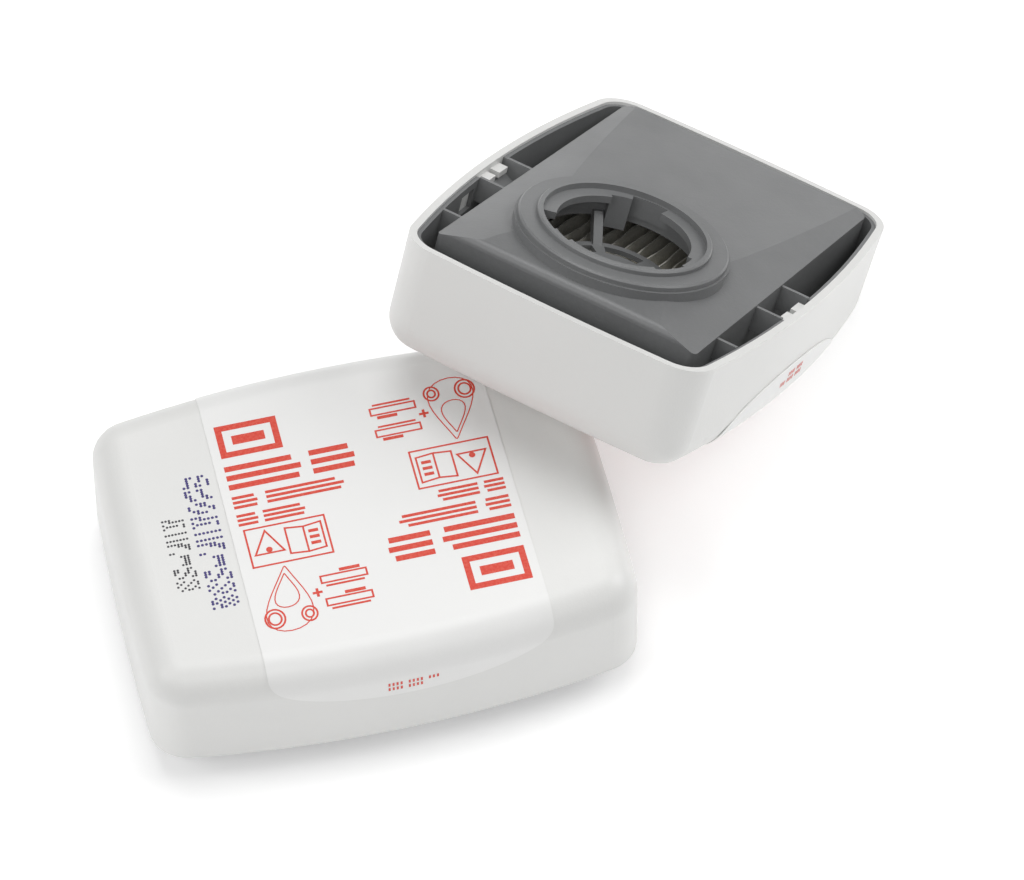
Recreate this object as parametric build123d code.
from build123d import *
import os
from math import asin, cos, hypot, radians, sin

# A pair of encapsulated particulate filter cartridges for a half-mask respirator.
# One cartridge stands on its bayonet port with its label up. The other has its port up and leans
# on the first: its blind end is on the floor and its port end is raised.
#
# Cartridge frame: Z = 0 is the seating face of the bayonet ring, +Z runs from the port to the
# label face, X is the long axis with the port on the +X side, and Y is across. X = 0 is the middle
# of the cover. The part's own frame is the standing cartridge's, moved along X so that its origin
# is the centre of that cartridge's port, on the floor. All sizes are in mm.

# ---- outer cover -----------------------------------------------------------------------------
cover_length = 112.0
cover_width = 84.0
side_bow = 5.0
end_bow = 1.0
cover_corner_radius = 9.0
cover_height = 27.3
cover_draft = 1.2
crown_radius = 7.5
crown_bevel_share = 0.6
cover_wall = 1.8

# ---- how far the port stands proud of the cover's rim ----------------------------------------
port_stand_off = 7.7

# ---- inner skirt, which lines the mouth of the cover -----------------------------------------
skirt_wall = 1.0
skirt_set_back = 0.7
skirt_depth = 14.0
skirt_window_length = 7.0
skirt_window_height = 5.0
skirt_window_x = 18.0
skirt_window_set_back = 1.0

# ---- housing tray ----------------------------------------------------------------------------
tray_width = 65.0
tray_port_end = 46.5
tray_blind_end = 51.0
tray_depth = 20.0
tray_wall = 1.6
tray_corner_radius = 1.5
roof_edge_radius = 60.0
roof_rise_port_end = 2.7
roof_rise_crease = 3.7
roof_rise_blind_end = 1.0
crease_x = 27.0
ridge_radius = 2.0

# ---- ribs and clip between the tray and the skirt --------------------------------------------
rib_thickness = 0.9
rib_depth = 6.0
rib_set_back = 0.4
rib_root = 0.5
stay_rib_x = 33.8
clip_x = 5.35
clip_length = 14.3
clip_thickness = 1.4
clip_fall = 2.2
catch_height = 1.4
catch_reach = 2.4
catch_gap = 2.0
hook_clearance = 0.2
catch_set_back = 1.6

# ---- bayonet port ----------------------------------------------------------------------------
port_x = 19.6
bore_radius = 18.8
ring_wall = 1.3
mouth_step = 0.4
lip_chamfer = 0.3
ring_length = 6.4
ring_proud = 1.2
neck_wall = 1.5
flange_radius = 24.2
flange_step = 0.6
flange_thickness = 1.4
flange_chamfer = 0.4
lug_reach = 2.9
lug_thickness = 1.7
lug_set_back = 1.4
lug_start = 68.0
lug_span = 76.0
lug_count = 3
stop_span = 17.0
stop_length = 8.2
stop_thickness = 1.8
stop_clearance = 0.1

# ---- media grid ------------------------------------------------------------------------------
grid_band_height = 1.6
grid_band_wall = 1.4
grid_drop = 4.4
grid_radius = 14.0
grid_thickness = 1.2
grid_slot_inner = 9.3
grid_slot_outer = 12.2
grid_slot_count = 6
grid_bridge_angle = 14.0
strut_width = 2.2
strut_depth = 1.6
strut_angle = 139.0

# ---- pleated media and its potting -----------------------------------------------------------
media_stand_off = 0.6
media_depth = 13.0
pleat_pitch = 3.0
sheet_thickness = 0.55
potting_wall = 2.0

# ---- label -----------------------------------------------------------------------------------
label_thickness = 0.25
label_length = 63.5
label_shift = 2.2
label_drop = 12.8
label_tab_height = 10.5

# ---- how the second cartridge leans ----------------------------------------------------------
lean_turn = 45.5
lean_tilt = 28.4
lean_side = -22.0
bearing_gap = 0.3
approach_steps = 16

rim_z = port_stand_off
label_face_z = rim_z + cover_height
ring_radius = bore_radius + ring_wall
wall_radius = bore_radius - mouth_step
middle_radius = (wall_radius + ring_radius) / 2
neck_radius = ring_radius + neck_wall
tray_inside_width = tray_width - 2 * tray_wall
roof_edge_run = (2 * roof_edge_radius * roof_rise_crease - roof_rise_crease ** 2) ** 0.5
tray_centre_x = (tray_port_end - tray_blind_end) / 2
tray_inside_length = tray_port_end + tray_blind_end - 2 * tray_wall
tray_end_z = rim_z + tray_depth
grid_z = ring_length + grid_band_height + grid_drop
media_z = grid_z + grid_thickness + media_stand_off


def bow_radius(half_chord, bow):
    """Radius of a shallow arc from half its chord and its rise."""
    return (half_chord ** 2 + bow ** 2) / (2 * bow)


def cover_corner(growth):
    """Where a side arc and an end arc of the grown plan meet, in the quarter with X and Y positive."""
    side_radius = bow_radius(cover_length / 2 - end_bow, side_bow)
    end_radius = bow_radius(cover_width / 2 - side_bow, end_bow)
    side_centre = Vector(0, cover_width / 2 - side_radius)
    end_centre = Vector(cover_length / 2 - end_radius, 0)
    apart = (side_centre - end_centre).length
    reach = (apart ** 2 + (end_radius + growth) ** 2 - (side_radius + growth) ** 2) / (2 * apart)
    rise = ((end_radius + growth) ** 2 - reach ** 2) ** 0.5
    unit = (side_centre - end_centre) / apart
    return end_centre + unit * reach + Vector(-unit.Y, unit.X) * rise


def cover_outline(growth):
    """Plan of the cover: bowed sides and ends with rounded corners, grown by growth."""
    corner = cover_corner(growth)
    half_length = cover_length / 2 + growth
    half_width = cover_width / 2 + growth
    x, y = corner.X, corner.Y
    sides = [
        ThreePointArc((-x, -y), (0, -half_width), (x, -y)),
        ThreePointArc((x, -y), (half_length, 0), (x, y)),
        ThreePointArc((x, y), (0, half_width), (-x, y)),
        ThreePointArc((-x, y), (-half_length, 0), (-x, -y)),
    ]
    plan = make_face(sides)
    return fillet(plan.vertices(), cover_corner_radius + growth)


def cover_block(growth, rounded=True):
    """The cover's drafted form, grown by growth, with a rounded crown or, inside, a bevelled one."""
    height = cover_height + growth
    block = extrude(cover_outline(growth), height, taper=cover_draft)
    crown = block.faces().sort_by(Axis.Z)[-1].edges()
    if rounded:
        return Pos(0, 0, rim_z) * fillet(crown, crown_radius + growth)
    return Pos(0, 0, rim_z) * chamfer(crown, (crown_radius + growth) * crown_bevel_share)


def slab(z_low, z_high):
    """A wide block between two heights, used to keep one band of a form."""
    reach = 2 * cover_length
    return Pos(0, 0, z_low) * Box(reach, reach, z_high - z_low, align=(Align.CENTER, Align.CENTER, Align.MIN))


def block_between(x_low, x_high, y_low, y_high, z_low, z_high):
    """A plain block given by its limits."""
    size = (x_high - x_low, y_high - y_low, z_high - z_low)
    return Pos(x_low, y_low, z_low) * Box(*size, align=(Align.MIN, Align.MIN, Align.MIN))


def both_sides(solid):
    """The solid and its mirror image across the long axis."""
    return solid + mirror(solid, about=Plane.XZ)


outer_form = cover_block(0)
cavity_form = cover_block(-cover_wall, rounded=False)
skirt_form = cover_block(-cover_wall - skirt_wall, rounded=False)
catch_z = rim_z + catch_set_back
hook_z = catch_z + catch_height + hook_clearance
clip_low_x = clip_x - clip_length / 2
clip_high_x = clip_x + clip_length / 2


def make_cover():
    """White outer shell, with a split catch ledge inside each long wall."""
    half_length = clip_length / 2 - 2 * rib_thickness
    inside = cavity_form & slab(catch_z, catch_z + catch_height)
    ledge_form = inside - cover_block(-cover_wall - catch_reach, rounded=False)
    pads = Compound([
        block_between(clip_x - half_length, clip_x - catch_gap / 2, 0, cover_width, catch_z, hook_z),
        block_between(clip_x + catch_gap / 2, clip_x + half_length, 0, cover_width, catch_z, hook_z),
    ])
    catches = both_sides(ledge_form & pads)
    return outer_form - cavity_form + catches


def make_label():
    """Thin label over the label face, wrapped over both long edges to a rounded tab."""
    skin = cover_block(label_thickness) - outer_form
    tab_top = label_face_z - label_drop + label_tab_height
    half_length = label_length / 2
    with BuildSketch(Plane.XZ) as shape:
        with Locations((label_shift, tab_top)):
            Ellipse(half_length, label_tab_height)
            Rectangle(label_length, cover_height, align=(Align.CENTER, Align.MIN))
    return skin & extrude(shape.sketch, cover_width, both=True)


def make_skirt():
    """Grey liner of the cover's mouth, notched at each clip and with a window beside it."""
    band = slab(rim_z + skirt_set_back, rim_z + skirt_set_back + skirt_depth)
    liner = (cavity_form & band) - skirt_form
    notch_end_z = hook_z + clip_thickness + clip_fall
    notch = block_between(clip_low_x, clip_high_x, 0, cover_width, rim_z, notch_end_z)
    window_z = catch_z + skirt_window_set_back
    window = block_between(skirt_window_x - skirt_window_length / 2, skirt_window_x + skirt_window_length / 2,
                           0, cover_width, window_z, window_z + skirt_window_height)
    return liner - both_sides(notch) - both_sides(window)


def roof_form(inset, floor_z):
    """Block with rounded long edges; its roof climbs from the blind end to the crease, then falls."""
    top_z = rim_z + inset
    half_width = tray_width / 2 - inset
    long_profile = Polyline(
        (-tray_blind_end + inset, floor_z),
        (-tray_blind_end + inset, top_z - roof_rise_blind_end),
        (crease_x, top_z - roof_rise_crease),
        (tray_port_end - inset, top_z - roof_rise_port_end),
        (tray_port_end - inset, floor_z),
        close=True,
    )
    half_flat = half_width - roof_edge_run
    crown_z = top_z - roof_rise_crease
    turn = asin(roof_edge_run / roof_edge_radius) / 2
    arc_y = half_flat + roof_edge_radius * sin(turn)
    arc_z = crown_z + roof_edge_radius * (1 - cos(turn))
    cross_profile = [
        Polyline((half_width, top_z), (half_width, floor_z), (-half_width, floor_z), (-half_width, top_z)),
        ThreePointArc((-half_width, top_z), (-arc_y, arc_z), (-half_flat, crown_z)),
        Line((-half_flat, crown_z), (half_flat, crown_z)),
        ThreePointArc((half_flat, crown_z), (arc_y, arc_z), (half_width, top_z)),
    ]
    along = extrude(Plane.XZ * make_face(long_profile), half_width, both=True)
    return along & extrude(Plane.YZ * make_face(cross_profile), cover_length, both=True)


def make_housing():
    """Grey tray that holds the media, with a port hole, stay ribs and two snap clips."""
    shell = roof_form(0, tray_end_z)
    shell = fillet(shell.edges().filter_by(Axis.Z), tray_corner_radius)
    ridge = shell.faces().sort_by(Axis.X)[-1].edges().sort_by(Axis.Z)[:1]
    shell = fillet(ridge, ridge_radius)
    cavity = roof_form(tray_wall, tray_end_z)
    port_hole = Pos(port_x, 0, 0) * Cylinder(neck_radius, tray_end_z)
    side = tray_width / 2 - rib_root
    rib_z = rim_z + rib_set_back
    ribs = Compound([
        block_between(x - rib_thickness / 2, x + rib_thickness / 2, side, cover_width, rib_z, rib_z + rib_depth)
        for x in (clip_low_x, clip_high_x, stay_rib_x)
    ])
    clip = clip_profile()
    stays = (ribs + clip) & skirt_form
    body = shell - cavity - port_hole
    return body + both_sides(stays)


def clip_profile():
    """Sloped bar between two ribs, whose outer edge snaps behind the cover's catch."""
    outer_y = cover_width / 2 - cover_wall
    inner_y = outer_y - catch_reach - clip_fall
    points = [
        (inner_y, hook_z + clip_fall),
        (outer_y, hook_z),
        (outer_y, hook_z + clip_thickness),
        (inner_y, hook_z + clip_fall + clip_thickness),
    ]
    plane = Plane(origin=(clip_low_x, 0, 0), x_dir=(0, 1, 0), z_dir=(1, 0, 0))
    return extrude(plane * make_face(Polyline(*points, close=True)), clip_length)


def make_flange():
    """Round flange and neck that carry the bayonet ring, welded to the roof of the tray."""
    foot_z = rim_z - roof_rise_crease + tray_wall
    foot_radius = flange_radius + flange_step
    profile = Polyline(
        (ring_radius, ring_proud),
        (flange_radius - flange_chamfer, ring_proud),
        (flange_radius, ring_proud + flange_chamfer),
        (flange_radius, ring_proud + flange_thickness),
        (foot_radius, ring_proud + flange_thickness),
        (foot_radius, foot_z),
        (neck_radius, foot_z),
        (neck_radius, ring_length + grid_band_height),
        (ring_radius, ring_length + grid_band_height),
        close=True,
    )
    body = revolve(Plane.XZ * make_face(profile), Axis.Z)
    return Pos(port_x, 0, 0) * body - roof_form(0, tray_end_z)


def make_bayonet_ring():
    """Ring with three inward lugs, and a stop block at the end of each lug."""
    profile = Polyline(
        (bore_radius, 0),
        (ring_radius - lip_chamfer, 0),
        (ring_radius, lip_chamfer),
        (ring_radius, ring_length),
        (wall_radius, ring_length),
        (wall_radius, lug_set_back),
        (bore_radius, lug_set_back),
        close=True,
    )
    ring = revolve(Plane.XZ * make_face(profile), Axis.Z)
    lug_tip = wall_radius - lug_reach
    stop_face = wall_radius - stop_thickness
    stop_back = ring_radius - grid_band_wall - stop_clearance
    for index in range(lug_count):
        start = lug_start + index * 360 / lug_count
        lug_band = tube(middle_radius, lug_tip, lug_set_back, lug_set_back + lug_thickness)
        ring += lug_band & sector(start, lug_span)
        inside_band = tube(stop_back, stop_face, lug_set_back, lug_set_back + stop_length)
        root_band = tube(middle_radius, stop_face, lug_set_back, ring_length)
        ring += (inside_band + root_band) & sector(start + lug_span, stop_span)
    return Pos(port_x, 0, 0) * ring


def tube(outer, inner, z_low, z_high):
    """Plain tube about the port's own axis between two heights."""
    align = (Align.CENTER, Align.CENTER, Align.MIN)
    length = z_high - z_low
    return Pos(0, 0, z_low) * (Cylinder(outer, length, align=align) - Cylinder(inner, length, align=align))


def sector(start, span):
    """Pie-shaped prism about the port's own axis, wider and taller than the port."""
    reach = 2 * flange_radius
    corners = [(0, 0)]
    corners += [
        (reach * cos(radians(start + span * step)), reach * sin(radians(start + span * step)))
        for step in (0, 0.5, 1)
    ]
    return extrude(make_face(Polyline(*corners, close=True)), reach, both=True)


def make_media_grid():
    """Basket under the port: a band, three sloped struts and a slotted disc that backs the media."""
    band_z = ring_length
    band_end = band_z + grid_band_height
    band_inner = ring_radius - grid_band_wall
    band = tube(ring_radius, band_inner, band_z, band_end)
    disc = tube(grid_radius, grid_slot_outer, grid_z, grid_z + grid_thickness)
    disc += Pos(0, 0, grid_z) * Cylinder(
        grid_slot_inner, grid_thickness, align=(Align.CENTER, Align.CENTER, Align.MIN)
    )
    gap = tube(grid_slot_outer, grid_slot_inner, grid_z, grid_z + grid_thickness)
    basket = band + disc
    for index in range(grid_slot_count):
        middle = strut_angle + index * 360 / grid_slot_count
        basket += gap & sector(middle - grid_bridge_angle / 2, grid_bridge_angle)
    strut_root = (band_inner + ring_radius) / 2
    profile = make_face(Polyline(
        (strut_root, band_z),
        (strut_root, band_end),
        (grid_radius, grid_z + grid_thickness),
        (grid_radius - strut_depth, grid_z + grid_thickness),
        (grid_radius - strut_depth, grid_z),
        (strut_root - 1.2 * strut_depth, band_z),
        close=True,
    ))
    strut = extrude(Plane.XZ * profile, strut_width / 2, both=True)
    for index in range(lug_count):
        basket += Rot(0, 0, strut_angle + index * 360 / lug_count) * strut
    return Pos(port_x, 0, 0) * basket


def make_media():
    """Pleated filter paper, its folds along the long axis, as one closed folded sheet."""
    length = tray_inside_length - 2 * potting_wall
    width = tray_inside_width - 2 * potting_wall
    pleats = int(width / pleat_pitch)
    step = width / (2 * pleats)
    lift = sheet_thickness * hypot(media_depth, step) / step
    low = [
        (-width / 2 + index * step, media_z + (media_depth - lift) * (index % 2))
        for index in range(2 * pleats + 1)
    ]
    high = [(y, z + lift) for y, z in reversed(low)]
    plane = Plane(origin=(tray_centre_x, 0, 0), x_dir=(0, 1, 0), z_dir=(1, 0, 0))
    folded = extrude(plane * make_face(Polyline(*low, *high, close=True)), length / 2, both=True)
    return folded


def make_potting():
    """Bead of potting compound that seals the media's edges to the tray's walls."""
    size = (tray_inside_length, tray_inside_width, media_depth)
    inner = (size[0] - 2 * potting_wall, size[1] - 2 * potting_wall, media_depth)
    align = (Align.CENTER, Align.CENTER, Align.MIN)
    return Pos(tray_centre_x, 0, media_z) * (Box(*size, align=align) - Box(*inner, align=align))


def leaning_turn():
    """Attitude of the leaning cartridge: port up, port end raised, turned away to the back."""
    return Rot(0, 0, lean_turn + 180) * Rot(0, -lean_tilt, 0) * Rot(180, 0, 0)


def leaning_place(flat_form):
    """Place of the leaning cartridge: on the floor, and moved in until it bears on the first."""
    turned = leaning_turn() * flat_form
    along = Vector(cos(radians(lean_turn)), sin(radians(lean_turn)), 0)
    across = Vector(-along.Y, along.X, 0)
    lift = -turned.bounding_box().min.Z
    away = cover_length + cover_width
    for _ in range(approach_steps):
        offset = along * away + across * lean_side + Vector(0, 0, lift)
        gap = (Pos(*offset) * turned).distance_to(flat_form)
        away -= gap - bearing_gap
        if abs(gap - bearing_gap) < bearing_gap / 20:
            break
    return Pos(*(along * away + across * lean_side + Vector(0, 0, lift))) * leaning_turn()


pieces = {
    "cover": make_cover(),
    "label": make_label(),
    "inner_skirt": make_skirt(),
    "housing": make_housing(),
    "port_flange": make_flange(),
    "bayonet_ring": make_bayonet_ring(),
    "media_grid": make_media_grid(),
    "pleated_media": make_media(),
    "potting_bead": make_potting(),
}
to_port = Pos(-port_x, 0, 0)
places = {
    "flat": to_port,
    "leaning": to_port * leaning_place(outer_form),
}

os.makedirs("parts", exist_ok=True)
for place_name, place in places.items():
    for piece_name, piece in pieces.items():
        solids = (place * piece).solids()
        shape = solids[0] if len(solids) == 1 else Compound(solids)
        export_step(shape, "parts/" + place_name + "_" + piece_name + ".step")
